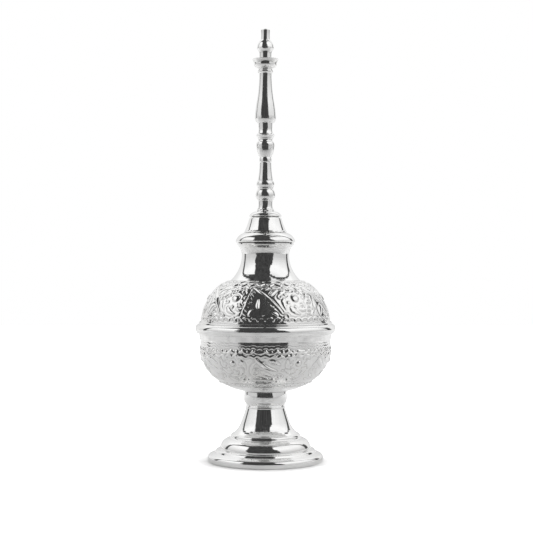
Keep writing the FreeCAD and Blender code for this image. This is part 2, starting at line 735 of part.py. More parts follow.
make_foot_shell()
make_foot_collar()
make_bolt()
make_nut()
make_belly()
make_neck()
make_neck_ring()
make_cap_ring()
make_cap_shells()
make_lower_spout()
make_upper_spout()
make_tip()
doc.recompute()
check()
os.makedirs("parts", exist_ok=True)
for subpart in subparts:
    subpart.Shape.exportStep(f"parts/{subpart.Label}.step")
    box = subpart.Shape.optimalBoundingBox(False)
    height = f"z {box.ZMin:7.2f} to {box.ZMax:7.2f}"
    print(f"{subpart.Label:18s} r {box.XMax:6.2f}  {height}  {subpart.Shape.Volume:9.1f} mm3")
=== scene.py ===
"""Looks of the silver-plated rose-water sprinkler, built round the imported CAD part.

The silver pieces are lathed again from the outlines of their CAD nodes, with softened edges, the
slight unevenness of hand work, and, on the belly, chased ornament. The tip, the spout's threaded
upper length, the brass pieces and the seals keep their CAD meshes. Lengths inside the functions
that shape a piece are in millimetres, and a mesh is turned into metres when it is made. Materials,
floor and camera are in metres.
"""

import math

import bmesh
import bpy
import numpy as np
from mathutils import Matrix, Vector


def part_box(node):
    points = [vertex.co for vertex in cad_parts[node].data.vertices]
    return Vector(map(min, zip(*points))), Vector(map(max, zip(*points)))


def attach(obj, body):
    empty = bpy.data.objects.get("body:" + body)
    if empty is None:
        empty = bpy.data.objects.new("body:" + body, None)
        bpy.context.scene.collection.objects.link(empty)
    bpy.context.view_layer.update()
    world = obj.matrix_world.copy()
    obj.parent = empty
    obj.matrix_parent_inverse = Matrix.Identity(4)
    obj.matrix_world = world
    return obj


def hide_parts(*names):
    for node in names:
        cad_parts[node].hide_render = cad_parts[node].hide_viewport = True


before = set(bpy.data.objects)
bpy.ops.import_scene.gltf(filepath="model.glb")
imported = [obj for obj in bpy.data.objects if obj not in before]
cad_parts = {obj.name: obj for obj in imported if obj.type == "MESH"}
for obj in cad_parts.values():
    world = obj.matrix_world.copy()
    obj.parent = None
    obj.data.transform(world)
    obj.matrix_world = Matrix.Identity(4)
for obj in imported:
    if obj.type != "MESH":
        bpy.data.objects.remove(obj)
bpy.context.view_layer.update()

MM = 0.001
SECTORS = 6  # the ornament repeats every 60 degrees
AROUND = 288  # faces round a plain turned piece
AROUND_CHASED = 720  # faces round the two chased halves of the belly
EDGE = 0.14  # how far back from a corner its rounding starts
SOLDERED_ROW = 0.3  # longest side of the outline on a piece with a soldered crease
FLAT_FOOT = 0.6  # below this height nothing is uneven, so that the foot stands flat


# ---------------------------------------------------------------- outlines read from the CAD


def cad_outline(node):
    """The closed outline of a turned CAD node where it crosses the +X half plane, as (r, z) in mm."""
    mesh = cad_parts[node].data
    points = np.array([v.co for v in mesh.vertices]) / MM
    on_plane = (np.abs(points[:, 1]) < 1e-3) & (points[:, 0] > -1e-3)
    near = {}
    for a, b in (e.vertices for e in mesh.edges):
        if on_plane[a] and on_plane[b]:
            p, q = (tuple(np.round(points[i, [0, 2]], 3)) for i in (a, b))
            if p != q:
                near.setdefault(p, set()).add(q)
                near.setdefault(q, set()).add(p)
    bridge_flat_faces(near, points[on_plane][:, [0, 2]])
    start = min(near, key=lambda p: (p[1], p[0]))
    loop, previous = [start], None
    while True:
        here = loop[-1]
        ahead = sorted(q for q in near[here] if q != previous)
        onward = [q for q in ahead if q == start and len(loop) > 2] or [q for q in ahead if q not in loop]
        if not onward or onward[0] == start:
            break
        previous = here
        loop.append(onward[0])
    return np.array(loop)


def bridge_flat_faces(near, points):
    """A flat ring has no edge along the half plane, so its two corners are joined here."""
    for p in {tuple(np.round(q, 3)) for q in points}:
        near.setdefault(p, set())
    while True:
        loose = sorted(p for p, others in near.items() if len(others) < 2)
        pairs = [
            (abs(p[0] - q[0]), p, q)
            for i, p in enumerate(loose)
            for q in loose[i + 1 :]
            if abs(p[1] - q[1]) < 0.004 and q not in near[p]
        ]
        if not pairs:
            return
        _, p, q = min(pairs)
        near[p].add(q)
        near[q].add(p)


def turn_angles(loop):
    ahead = np.roll(loop, -1, axis=0) - loop
    behind = loop - np.roll(loop, 1, axis=0)
    cross = behind[:, 0] * ahead[:, 1] - behind[:, 1] * ahead[:, 0]
    return np.degrees(np.arctan2(cross, (behind * ahead).sum(axis=1)))


def soften(loop, radius, sharp=14.0, steps=5):
    """The same outline with every corner sharper than sharp degrees rounded off."""
    angles = turn_angles(loop)
    out = []
    count = len(loop)
    for i in range(count):
        here, back, on = loop[i], loop[i - 1], loop[(i + 1) % count]
        if abs(angles[i]) < sharp or here[0] < 1e-3:
            out.append(here)
            continue
        reach_back = min(radius, 0.45 * np.linalg.norm(back - here))
        reach_on = min(radius, 0.45 * np.linalg.norm(on - here))
        first = here + (back - here) / np.linalg.norm(back - here) * reach_back
        last = here + (on - here) / np.linalg.norm(on - here) * reach_on
        for k in range(steps + 1):
            t = k / steps
            out.append((1 - t) ** 2 * first + 2 * t * (1 - t) * here + t**2 * last)
    return np.array(out)


def subdivide(loop, longest):
    """The outline with no side longer than longest, and a point close to each end of a long side."""
    out = []
    for i, here in enumerate(loop):
        on = loop[(i + 1) % len(loop)]
        length = np.linalg.norm(on - here)
        out.append(here)
        if length > longest:
            count = math.ceil(length / longest)
            shares = [0.06 / length, *(k / count for k in range(1, count)), 1 - 0.06 / length]
            out.extend(here + (on - here) * share for share in shares)
    return np.array(out)


# ---------------------------------------------------------------- meshes


def smooth_noise(rng, count_around, count_along, waves_around, waves_along):
    """Soft random hills over a grid that closes on itself round the axis, about -1 to 1."""
    around = np.linspace(0, 2 * np.pi, count_around, endpoint=False)[:, None]
    along = np.linspace(0, 2 * np.pi, count_along)[None, :]
    total = np.zeros((count_around, count_along))
    for _ in range(14):
        m = rng.integers(0, waves_around + 1)
        n = rng.uniform(0, waves_along)
        total += np.cos(m * around + rng.uniform(0, 6.3)) * np.cos(n * along + rng.uniform(0, 6.3))
    return total / 4.0


def grid_mesh(name, r, z):
    """A mesh of the closed outlines r[i, j], z[i, j], one for each step i round the axis."""
    count, rows = r.shape
    angle = np.linspace(0, 2 * np.pi, count, endpoint=False)[:, None]
    places = np.stack([r * np.cos(angle), r * np.sin(angle), z], axis=2).reshape(-1, 3) * MM
    i = np.arange(count)[:, None]
    j = np.arange(rows)[None, :]
    i_on, j_on = (i + 1) % count, (j + 1) % rows
    corners = [i * rows + j, i_on * rows + j, i_on * rows + j_on, i * rows + j_on]
    quads = np.stack(corners, axis=2).reshape(-1, 4)
    mesh = bpy.data.meshes.new(name)
    mesh.vertices.add(len(places))
    mesh.vertices.foreach_set("co", places.astype(np.float32).ravel())
    mesh.loops.add(len(quads) * 4)
    mesh.loops.foreach_set("vertex_index", quads.astype(np.int32).ravel())
    mesh.polygons.add(len(quads))
    mesh.polygons.foreach_set("loop_start", np.arange(0, len(quads) * 4, 4, dtype=np.int32))
    mesh.update(calc_edges=True)
    return mesh


def close_at_axis(mesh):
    """Merges the points on the axis, so that a solid end has no pinhole."""
    edit = bmesh.new()
    edit.from_mesh(mesh)
    on_axis = [v for v in edit.verts if math.hypot(v.co.x, v.co.y) < 1e-6]
    if on_axis:
        bmesh.ops.remove_doubles(edit, verts=on_axis, dist=1e-7)
        bmesh.ops.dissolve_degenerate(edit, edges=edit.edges, dist=1e-8)
    bmesh.ops.recalc_face_normals(edit, faces=edit.faces)
    edit.to_mesh(mesh)
    edit.free()


def add_piece(name, mesh, body, material, slot, *nodes):
    """Puts a finished mesh in the scene, riding on its CAD body and standing for its CAD nodes."""
    piece = bpy.data.objects.new(name, mesh)
    bpy.context.scene.collection.objects.link(piece)
    mesh.polygons.foreach_set("use_smooth", [True] * len(mesh.polygons))
    mesh.materials.append(material)
    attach(piece, body)
    if nodes:
        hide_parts(*nodes)
    return piece


def lathe(node, body, material, uneven=0.02, seed=0, solder=None, swell=0.0, longest=0.9):
    """Turns a CAD node's outline again, with softened edges and slightly uneven skin.

    solder is the height of a soldered crease, where the skin is lumpy for about a millimetre.
    swell is how far the middle of the outside stands out past its ends.
    """
    loop = subdivide(soften(cad_outline(node), EDGE), SOLDERED_ROW if solder else longest)
    if swell:
        outside = loop[:, 0] > loop[:, 0].max() - 0.4
        low, high = loop[outside, 1].min(), loop[outside, 1].max()
        loop[outside, 0] += swell * np.sin(np.pi * (loop[outside, 1] - low) / (high - low))
    rng = np.random.default_rng(seed)
    wobble = smooth_noise(rng, AROUND, len(loop), 5, 4)
    wobble = (wobble - wobble.max()) * uneven
    if solder:
        lumps = smooth_noise(rng, AROUND, len(loop), 34, 40)
        beside = np.exp(-(((loop[:, 1] - solder) / 0.8) ** 2))
        wobble += np.clip(lumps, -0.2, 1.2) * 0.28 * beside
    wobble[:, loop[:, 0] < 0.05] = 0
    wobble[:, loop[:, 1] < FLAT_FOOT] = 0
    r = loop[None, :, 0] + wobble
    z = np.repeat(loop[None, :, 1], AROUND, axis=0)
    mesh = grid_mesh(node + "_mesh", r, z)
    close_at_axis(mesh)
    return add_piece(node + "_turned", mesh, body, material, "silver_plate", node)


# ---------------------------------------------------------------- chased ornament

FAR = 9.0  # further than any outline or echo line reaches
REACH = 4.2  # how far round a shape its echo lines are worked out


def bezier(*points, steps=12):
    """Points along the smooth curve that these control points pull on."""
    t = np.linspace(0, 1, steps + 1)[:, None]
    layer = [np.array(p, dtype=float) + 0 * t for p in points]
    while len(layer) > 1:
        layer = [(1 - t) * a + t * b for a, b in zip(layer, layer[1:])]
    return layer[0]


def polar(distance, turn):
    return np.array([distance * math.cos(turn), distance * math.sin(turn)])


def spiral(centre, radius, start, turns, steps=20):
    """A scroll that winds in to centre; a negative number of turns winds clockwise."""
    shares = np.linspace(0, 1, steps + 1)
    arms = [polar(radius * (1 - 0.8 * s), start + 2 * np.pi * turns * s) for s in shares]
    return np.add(centre, arms)


def leaf(width):
    """Half widths of a leaf: narrow at its foot, full before its middle, pointed at its tip."""
    return lambda share: 0.12 + width * np.sin(np.pi * share**0.72) ** 0.85


def stem(width):
    """Half widths of a stem that thins a little towards both ends."""
    return lambda share: width * (1 - 0.5 * (2 * share - 1) ** 2)


def crest(share):
    """The section of a raised shape, from 1 on its middle to 0 at its edge: round, with full flanks."""
    return np.clip(1 - np.abs(share) ** 1.35, 0, 1)


class Relief:
    """Heights over one half of the belly: shapes raised from behind, then outlined from in front."""

    def __init__(self, angle, radius, up, drift):
        self.angle, self.radius, self.up = np.broadcast_arrays(angle, radius, up)
        self.drift = drift
        self.raised = np.zeros(self.up.shape)
        self.away = np.full(self.up.shape, FAR)
        self.centre(0, 0)

    def centre(self, degrees, up):
        """Shapes are placed from here on: degrees to the right of a panel's middle, and up the skin."""
        sector = 2 * np.pi / SECTORS
        turn = (self.angle + np.radians(90 - degrees) + sector / 2) % sector - sector / 2
        self.x = turn * self.radius + self.drift[0]
        self.y = self.up - up + self.drift[1]

    def add(self, near, gap, width, height, shape=None):
        """Raises what lies within width of a line or a point that is gap away."""
        dome = crest(gap / width) if shape is None else shape
        self.raised[near] = np.maximum(self.raised[near], height * dome)
        self.away[near] = np.minimum(self.away[near], gap - width)

    def stroke(self, points, width, height, veins=0):
        """A stem or a leaf along points, with a middle vein and side veins if it is a leaf."""
        points = np.asarray(points, dtype=float)
        low, high = points.min(axis=0) - REACH, points.max(axis=0) + REACH
        near = (self.x > low[0]) & (self.x < high[0]) & (self.y > low[1]) & (self.y < high[1])
        x, y = self.x[near], self.y[near]
        gap = np.full(x.shape, FAR)
        share = np.zeros(x.shape)
        for k, (a, b) in enumerate(zip(points, points[1:])):
            step = b - a
            along = np.clip(((x - a[0]) * step[0] + (y - a[1]) * step[1]) / (step @ step), 0, 1)
            here = np.hypot(x - a[0] - along * step[0], y - a[1] - along * step[1])
            share = np.where(here < gap, (k + along) / (len(points) - 1), share)
            gap = np.minimum(gap, here)
        half = width(share)
        dome = crest(gap / half)
        if veins:
            side = np.clip(gap / half, 0, 1)
            cut = 0.5 + 0.5 * np.cos(2 * np.pi * (share * veins - 1.1 * side))
            rib = np.exp(-((gap / 0.24) ** 2)) * (side < 1)
            dome = dome * (1 - 0.85 * cut * np.sqrt(side)) - 0.35 * rib
        self.add(near, gap, half, height, dome)

    def boss(self, place, width, height):
        gap = np.hypot(self.x - place[0], self.y - place[1])
        self.add(gap < width + REACH, gap[gap < width + REACH], width, height)

    def rosette(self, eye, petals, reach, lean):
        """An eye in a smooth dish, with a ring of petals and a wreath of leaning leaves."""
        gap = np.hypot(self.x, self.y)
        near = gap < eye + REACH
        self.add(near, gap[near], eye, 0.75, np.sqrt(np.clip(1 - (gap[near] / eye) ** 2, 0, 1)))
        for k in range(petals):
            turn = 2 * np.pi * k / petals
            foot, tip = polar(eye + 2.3, turn), polar(eye + 4.3, turn + 0.1)
            self.stroke(bezier(foot, tip, steps=4), leaf(0.8), 0.24)
            turn += np.pi / petals
            foot, middle = polar(reach * 0.66, turn), polar(reach * 0.9, turn + lean * 0.3)
            self.stroke(bezier(foot, middle, polar(reach, turn + lean)), leaf(1.15), 0.38, veins=3)

    def folded(self, count):
        """Distance sideways from the nearest of count even places round the axis."""
        pitch = 2 * np.pi / count
        turn = self.angle + 1.6 * self.drift[0] / self.radius + np.pi / 2
        return (turn % pitch - pitch / 2) * self.radius

    def arches(self, count, up, width, height, bead, hanging=False, flat=1.25):
        """A row of round arches, or of hanging swags, with a bead of that height in each."""
        u = self.folded(count)
        y = (self.up - up + self.drift[1]) * (-1 if hanging else 1)
        reach = 0.46 * 2 * np.pi * self.radius / count
        arch = np.abs(np.hypot(u, y * flat) - reach)
        foot = np.hypot(np.abs(u) - reach, y)
        gap = np.where(y > 0, arch, foot)
        near = gap < REACH
        self.add(near, gap[near], width, height)
        gap = np.hypot(u, y - 0.2 * reach)
        near = gap < REACH
        self.add(near, gap[near], 0.26 * reach[near], bead)

    def zigzag(self, count, up, swing, width, height):
        u = self.folded(count)
        pitch = 2 * np.pi * self.radius / count
        line = up + swing * (4 * np.abs(u) / pitch - 1)
        gap = np.abs(self.up + self.drift[1] - line) / np.hypot(1, 4 * swing / pitch)
        near = gap < REACH
        self.add(near, gap[near], width, height)

    def wave(self, count, up, swing, width, height):
        line = up + swing * np.cos(count * self.angle)
        gap = np.abs(self.up + self.drift[1] - line) / np.hypot(1, swing * count / self.radius * 0.7)
        near = gap < REACH
        self.add(near, gap[near], width, height)

    def finish(self):
        """The heights, and how deep in a groove each place lies, from 0 to 1.

        A groove runs just outside each shape, and fainter echo lines follow it further out.
        """
        outline = np.exp(-(((self.away - 0.26) / 0.24) ** 2))
        clear = np.clip((self.away - 0.55) / 0.4, 0, 1) * np.clip((REACH - 0.4 - self.away) / 0.8, 0, 1)
        echo = np.cos(2 * np.pi * self.away / 1.3) * clear
        heights = self.raised * (1 + 0.8 * self.drift[1]) - 0.16 * outline + 0.05 * echo
        for axis in (0, 1):
            heights = (np.roll(heights, 1, axis) + 2 * heights + np.roll(heights, -1, axis)) / 4
        return heights, np.clip(outline * 0.9 + np.clip(-echo, 0, 1) * 0.35, 0, 1)


def dome_ornament(relief):
    """Panels of stems and feathered leaves between rosettes, over a row of arches."""
    relief.centre(30, 15.2)
    relief.rosette(eye=2.3, petals=7, reach=9.8, lean=0.8)
    relief.centre(0, 0)
    relief.stroke(bezier((-6.4, 22.6), (-1.5, 18.5), (3.4, 13.6), (9.6, 6.2)), stem(0.95), 0.5)
    relief.stroke(spiral((11.6, 4.0), 2.3, 2.2, -1.1), stem(0.55), 0.4)
    relief.stroke(bezier((-7.2, 21.6), (-9.6, 15.5), (-11.5, 10), (-14.0, 4.2)), stem(0.5), 0.36)
    for k in range(7):
        foot = np.array((-8.0, 19.6)) + k / 6 * np.array((-5.2, -13.6))
        relief.stroke(bezier(foot, foot + (1.5, 0.2), foot + (2.5, -1.4), steps=5), leaf(0.55), 0.4)
    relief.stroke(bezier((-4.2, 8.4), (-4.6, 11.5), (-3.7, 14.8)), leaf(0.85), 0.48)
    relief.stroke(bezier((-1.6, 4.6), (-0.4, 8.6), (1.6, 10.4), (4.8, 9.8)), leaf(2.4), 0.42, veins=11)
    relief.stroke(bezier((-9.4, 4.4), (-8.2, 7.4), (-6.0, 8.4)), leaf(0.95), 0.42)
    relief.stroke(bezier((7.0, 4.4), (5.2, 6.2), (3.0, 6.4)), leaf(0.9), 0.4)
    relief.stroke(bezier((3.0, 16.6), (4.0, 19.4), (7.0, 20.6)), leaf(1.0), 0.48)
    relief.stroke(bezier((-2.2, 20.6), (0.2, 22.8), (2.8, 22.2)), leaf(1.1), 0.45, veins=4)
    relief.stroke(spiral((8.2, 16.0), 1.9, 1.2, 1.0), stem(0.45), 0.36)
    relief.stroke(spiral((-11.0, 21.6), 1.6, -0.4, -1.0), stem(0.42), 0.34)
    for place in ((0.4, 14.4), (-1.2, 17.6), (11.6, 11.2), (-7.4, 12.6), (9.8, 22.6)):
        relief.boss(place, 0.5, 0.32)
    relief.arches(54, 2.0, 0.6, 0.22, bead=0.06)
    relief.zigzag(30, 25.6, 1.1, 0.62, 0.5)
    relief.wave(24, 28.9, 0.5, 0.7, 0.45)


def bowl_ornament(relief):
    """Swags and a zigzag under the band, scrolled leaves round rosettes, and arches at the foot."""
    relief.centre(30, -12.2)
    relief.rosette(eye=1.6, petals=8, reach=8.0, lean=-0.8)
    relief.centre(0, 0)
    relief.stroke(bezier((-5.4, -8.8), (-2.6, -12.6), (1.0, -14.6), (6.6, -16.2)), leaf(1.25), 0.55)
    relief.stroke(bezier((-4.6, -10.2), (-9.6, -13.6), (-9.2, -19.4), (-3.8, -21.6)), stem(0.7), 0.42)
    relief.stroke(bezier((2.0, -10.0), (5.4, -10.2), (8.2, -12.4)), leaf(1.0), 0.42, veins=4)
    relief.stroke(bezier((-2.6, -16.2), (0.6, -19.4), (4.8, -20.2)), leaf(1.2), 0.42, veins=5)
    relief.stroke(spiral((-5.6, -17.0), 2.3, 0.6, 1.1), stem(0.5), 0.36)
    relief.stroke(spiral((8.0, -20.4), 2.0, 2.6, -1.1), stem(0.5), 0.36)
    relief.stroke(bezier((-8.6, -22.8), (-5.2, -24.4), (0, -23.4), (5.4, -24.8)), stem(0.5), 0.36)
    for place in ((-2.6, -22.0), (2.4, -21.8), (9.6, -16.0), (-11.6, -20.6), (-1.0, -11.0), (6.2, -22.6)):
        relief.boss(place, 0.55, 0.32)
    relief.centre(30, -22.6)
    relief.stroke(bezier((-4.6, 1.6), (-2.4, -1.6), (0, -2.2)), leaf(0.9), 0.38, veins=4)
    relief.stroke(bezier((4.6, 1.6), (2.4, -1.6), (0, -2.2)), leaf(0.9), 0.38, veins=4)
    relief.boss((0, 0.4), 0.8, 0.36)
    relief.arches(36, -4.5, 0.5, 0.4, bead=0.22, hanging=True, flat=1.9)
    relief.zigzag(54, -7.8, 0.6, 0.4, 0.3)
    relief.arches(42, -29.2, 0.5, 0.45, bead=0.3)
    relief.wave(42, -31.3, 0.0, 0.4, 0.3)


def along_skin(node, seam_z):
    """A half of the belly's closed outline from its outer seam corner, walked along the outside."""
    loop = cad_outline(node)
    first = np.argmax(loop[:, 0] * 10 - np.abs(loop[:, 1] - seam_z) * 100)
    loop = np.roll(loop, -first, axis=0)
    if np.linalg.norm(loop[1] - loop[0]) < np.linalg.norm(loop[-1] - loop[0]):
        loop = np.roll(loop[::-1], 1, axis=0)
    return loop


def close_rows(walk, first, last, rows):
    """Even close rows between two lengths along the outline, and its own points elsewhere."""
    closed = np.vstack([walk, walk[:1]])
    length = np.append(0, np.cumsum(np.linalg.norm(np.diff(closed, axis=0), axis=1)))
    own = length[:-1]
    elsewhere = own[(own < first - 0.05) | (own > last + 0.05)]
    at = np.sort(np.append(elsewhere, np.linspace(first, last, rows)))
    places = np.stack([np.interp(at, length, closed[:, k]) for k in (0, 1)], axis=1)
    inside = (at > first + 0.01) & (at < last - 0.01)
    for _ in range(40):
        eased = (np.roll(places, 1, axis=0) + 2 * places + np.roll(places, -1, axis=0)) / 4
        places[inside] = eased[inside]
    return places, at


def length_where(walk, column, value):
    """Length along the outline at which r (column 0) or z (column 1) first passes value."""
    length = np.append(0, np.cumsum(np.linalg.norm(np.diff(walk, axis=0), axis=1)))
    passed = np.flatnonzero(np.diff(np.sign(walk[:, column] - value)))[0]
    share = (value - walk[passed, column]) / (walk[passed + 1, column] - walk[passed, column])
    return length[passed] + share * (length[passed + 1] - length[passed])


def wall_swell(up):
    """The bowl's wall stays upright under the swags, and only then turns in."""
    most, middle, width = 0.42, -8.6, 3.2
    return most * np.exp(-(((up - middle) / width) ** 2))


def no_swell(up):
    """The dome keeps its turned outline."""
    return 0 * up


def chased(node, upward, hidden_z, last_column, last_value, rows, ornament, depth, swell, seed):
    """A half of the belly, with its ornament from the band's edge to the end of the visible skin.

    The skin starts at the height hidden_z, and ends where the outline's r (last_column 0) or z
    (last_column 1) passes last_value. upward is 1 where it is walked up, and -1 where down.
    """
    seam_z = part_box(node)[0 if upward > 0 else 1][2] / MM
    walk = along_skin(node, seam_z)
    first = length_where(walk, 1, hidden_z)
    last = length_where(walk, last_column, last_value)
    places, at = close_rows(walk, first, last, rows)
    along = np.roll(places, -1, axis=0) - np.roll(places, 1, axis=0)
    outward = upward * np.stack([along[:, 1], -along[:, 0]], axis=1)
    outward /= np.linalg.norm(outward, axis=1)[:, None]
    rng = np.random.default_rng(seed)
    count, length = AROUND_CHASED, len(at)
    angle = np.linspace(0, 2 * np.pi, count, endpoint=False)[:, None]
    drift = [smooth_noise(rng, count, length, 23, 9) * 0.24 for _ in range(2)]
    relief = Relief(angle, places[None, :, 0], upward * (at - first)[None, :], drift)
    ornament(relief)
    heights, recess = relief.finish()
    heights = heights * depth + swell(relief.up)
    shown = np.clip((at - first) / 0.8, 0, 1) * np.clip((last - at) / 0.8, 0, 1)
    heights = heights * shown + smooth_noise(rng, count, length, 9, 9) * 0.05 * (shown > 0)
    r = places[None, :, 0] + outward[None, :, 0] * heights
    z = places[None, :, 1] + outward[None, :, 1] * heights
    mesh = grid_mesh(node + "_mesh", r, z)
    # how deep in a groove each place lies; the chased silver darkens it there, partly as tarnish and
    # partly as painted shade
    layer = mesh.attributes.new("recess", "FLOAT", "POINT")
    layer.data.foreach_set("value", (recess * shown).astype(np.float32).ravel())
    close_at_axis(mesh)
    return add_piece(node + "_chased", mesh, "pot", chased_silver, "silver_plate", node)


# ---------------------------------------------------------------- materials


class Nodes:
    """A short way to write the nodes of a material or of the world."""

    def __init__(self, owner):
        owner.use_nodes = True
        self.tree = owner.node_tree

    def add(self, kind, inputs=None, **settings):
        node = self.tree.nodes.new(kind)
        for key, value in settings.items():
            setattr(node, key, value)
        for key, value in (inputs or {}).items():
            if isinstance(value, bpy.types.NodeSocket):
                self.tree.links.new(value, node.inputs[key])
            else:
                node.inputs[key].default_value = value
        return node

    def maths(self, operation, a, b=0.0):
        return self.add("ShaderNodeMath", {0: a, 1: b}, operation=operation).outputs[0]

    def spread(self, value, low, high, out_low=0.0, out_high=1.0):
        """value between low and high, as a number between out_low and out_high."""
        node = self.add("ShaderNodeMapRange", {0: value, 1: low, 2: high, 3: out_low, 4: out_high})
        return node.outputs[0]

    def noise(self, vector, scale, detail=3.0, roughness=0.55):
        inputs = {"Vector": vector, "Scale": scale, "Detail": detail, "Roughness": roughness}
        return self.add("ShaderNodeTexNoise", inputs).outputs["Fac"]

    def curve(self, value, points):
        """A smooth curve through (value, result) points, evenly held beyond its ends."""
        low, high = points[0][0], points[-1][0]
        tallest = max(result for _, result in points)
        node = self.add("ShaderNodeFloatCurve", {"Value": self.spread(value, low, high)})
        line = node.mapping.curves[0]
        while len(line.points) < len(points):
            line.points.new(0.5, 0.5)
        for point, (where, result) in zip(line.points, points):
            point.location = ((where - low) / (high - low), result / tallest)
        node.mapping.update()
        return self.maths("MULTIPLY", node.outputs[0], tallest)

    def blend(self, factor, a, b, mode="MIX"):
        node = self.add("ShaderNodeMix", data_type="RGBA", blend_type=mode)
        for index, value in ((0, factor), (6, a), (7, b)):
            if isinstance(value, bpy.types.NodeSocket):
                self.tree.links.new(value, node.inputs[index])
            else:
                node.inputs[index].default_value = value
        return node.outputs[2]

    def place(self, scale=(1, 1, 1), turn=(0, 0, 0)):
        """The place on the object, in metres, stretched by scale and turned by turn."""
        spot = self.add("ShaderNodeTexCoord").outputs["Object"]
        return self.add("ShaderNodeMapping", {"Vector": spot, "Scale": scale, "Rotation": turn}).outputs[0]

    def wire(self, **sockets):
        """Sets the material's own shader: Base_Color stands for its socket "Base Color"."""
        shader = self.tree.nodes["Principled BSDF"]
        for key, value in sockets.items():
            socket = shader.inputs[key.replace("_", " ")]
            if isinstance(value, bpy.types.NodeSocket):
                self.tree.links.new(value, socket)
            else:
                socket.default_value = value


def scratches(n, turns, scale=900.0):
    """Sparse hairline scratches: thin streaks of stretched noise, in several directions."""
    total = None
    for turn in turns:
        streaks = n.noise(n.place(scale=(1.0, 0.06, 0.06), turn=turn), scale, 2.0, 0.4)
        line = n.spread(streaks, 0.66, 0.72)
        total = line if total is None else n.maths("MAXIMUM", total, line)
    return total


def lathe_marks(n, fineness):
    """Fine rings round the axis, as a lathe or a buffing wheel leaves them."""
    spot = n.add("ShaderNodeTexCoord").outputs["Object"]
    axes = n.add("ShaderNodeSeparateXYZ", {0: spot})
    across = n.add("ShaderNodeMath", {0: axes.outputs[0], 1: axes.outputs[1]}, operation="MULTIPLY")
    x2 = n.maths("MULTIPLY", axes.outputs[0], axes.outputs[0])
    y2 = n.maths("MULTIPLY", axes.outputs[1], axes.outputs[1])
    radius = n.maths("SQRT", n.maths("ADD", x2, y2))
    rings = n.add("ShaderNodeCombineXYZ", {0: radius, 1: axes.outputs[2], 2: across.outputs[0]})
    return n.noise(rings.outputs[0], fineness, 4.0, 0.6)


def silver(name, roughness=0.055, recess=False, marks=1500.0, dents=0.00003):
    """Polished silver plate: bright, faintly warm, with buffing marks, scratches and tarnish; with recess
    set, its grooves are darkened, partly as tarnish and partly as painted shade.
    """
    material = bpy.data.materials.new(name)
    n = Nodes(material)
    cloud = n.noise(n.place(), 38.0, 4.0)
    tarnish = n.spread(cloud, 0.52, 0.78, 0.0, 0.5)
    colour = n.blend(tarnish, (0.945, 0.945, 0.94, 1), (0.84, 0.83, 0.80, 1))
    fine = n.noise(n.place(), 900.0, 2.0)
    rough = n.spread(fine, 0.3, 0.7, roughness * 0.75, roughness * 1.35)
    rough = n.maths("ADD", rough, n.maths("MULTIPLY", tarnish, 0.10))
    hair = scratches(n, ((0.3, 0.2, 0.5), (1.2, 0.4, 2.1), (0.7, 1.3, 1.1)))
    rough = n.maths("ADD", rough, n.maths("MULTIPLY", hair, 0.10))
    if recess:
        # tarnish and painted shade: the colour goes dark grey where the recess attribute says a place lies
        # deep in a groove
        depth = n.add("ShaderNodeAttribute", attribute_name="recess").outputs["Fac"]
        groove_tarnish_and_shade = n.maths("MULTIPLY", depth, n.spread(n.noise(n.place(), 420.0, 4.0), 0.25, 0.75, 0.3, 0.85))
        colour = n.blend(groove_tarnish_and_shade, colour, (0.40, 0.395, 0.385, 1))
        rough = n.maths("ADD", rough, n.maths("MULTIPLY", groove_tarnish_and_shade, 0.25))
    rings = lathe_marks(n, marks)
    soft_dents = n.noise(n.place(), 160.0, 2.0)
    height = n.maths("ADD", n.maths("MULTIPLY", rings, 0.05), soft_dents)
    bump = n.add("ShaderNodeBump", {"Strength": 0.35, "Distance": dents, "Height": height})
    n.wire(Base_Color=colour, Roughness=rough, Normal=bump.outputs[0], Metallic=1.0)
    return material


def bare_brass():
    """Brass as it left the lathe, dulled and a little brown in patches."""
    material = bpy.data.materials.new("bare_brass")
    n = Nodes(material)
    patch = n.spread(n.noise(n.place(), 210.0, 5.0), 0.38, 0.72)
    colour = n.blend(patch, (0.83, 0.62, 0.30, 1), (0.42, 0.27, 0.12, 1))
    rings = lathe_marks(n, 3200.0)
    rough = n.spread(rings, 0.3, 0.7, 0.22, 0.42)
    bump = n.add("ShaderNodeBump", {"Strength": 0.5, "Distance": 0.00003, "Height": rings})
    n.wire(Base_Color=colour, Roughness=rough, Normal=bump.outputs[0], Metallic=1.0)
    return material


def seal_rubber():
    """Black sheet rubber with a fine grain and a little dust."""
    material = bpy.data.materials.new("seal_rubber")
    n = Nodes(material)
    dust = n.spread(n.noise(n.place(), 700.0, 5.0), 0.5, 0.8)
    colour = n.blend(dust, (0.018, 0.018, 0.018, 1), (0.06, 0.058, 0.055, 1))
    grain = n.noise(n.place(), 4200.0, 3.0)
    bump = n.add("ShaderNodeBump", {"Strength": 0.6, "Distance": 0.00004, "Height": grain})
    n.wire(Base_Color=colour, Roughness=n.spread(dust, 0, 1, 0.55, 0.8), Normal=bump.outputs[0])
    return material


plain_silver = silver("silver_plate_polished")
cast_silver = silver("silver_plate_cast", roughness=0.12, marks=2600.0, dents=0.00006)
chased_silver = silver("silver_plate_chased", roughness=0.07, recess=True)
brass = bare_brass()
rubber = seal_rubber()


# ---------------------------------------------------------------- plain pieces

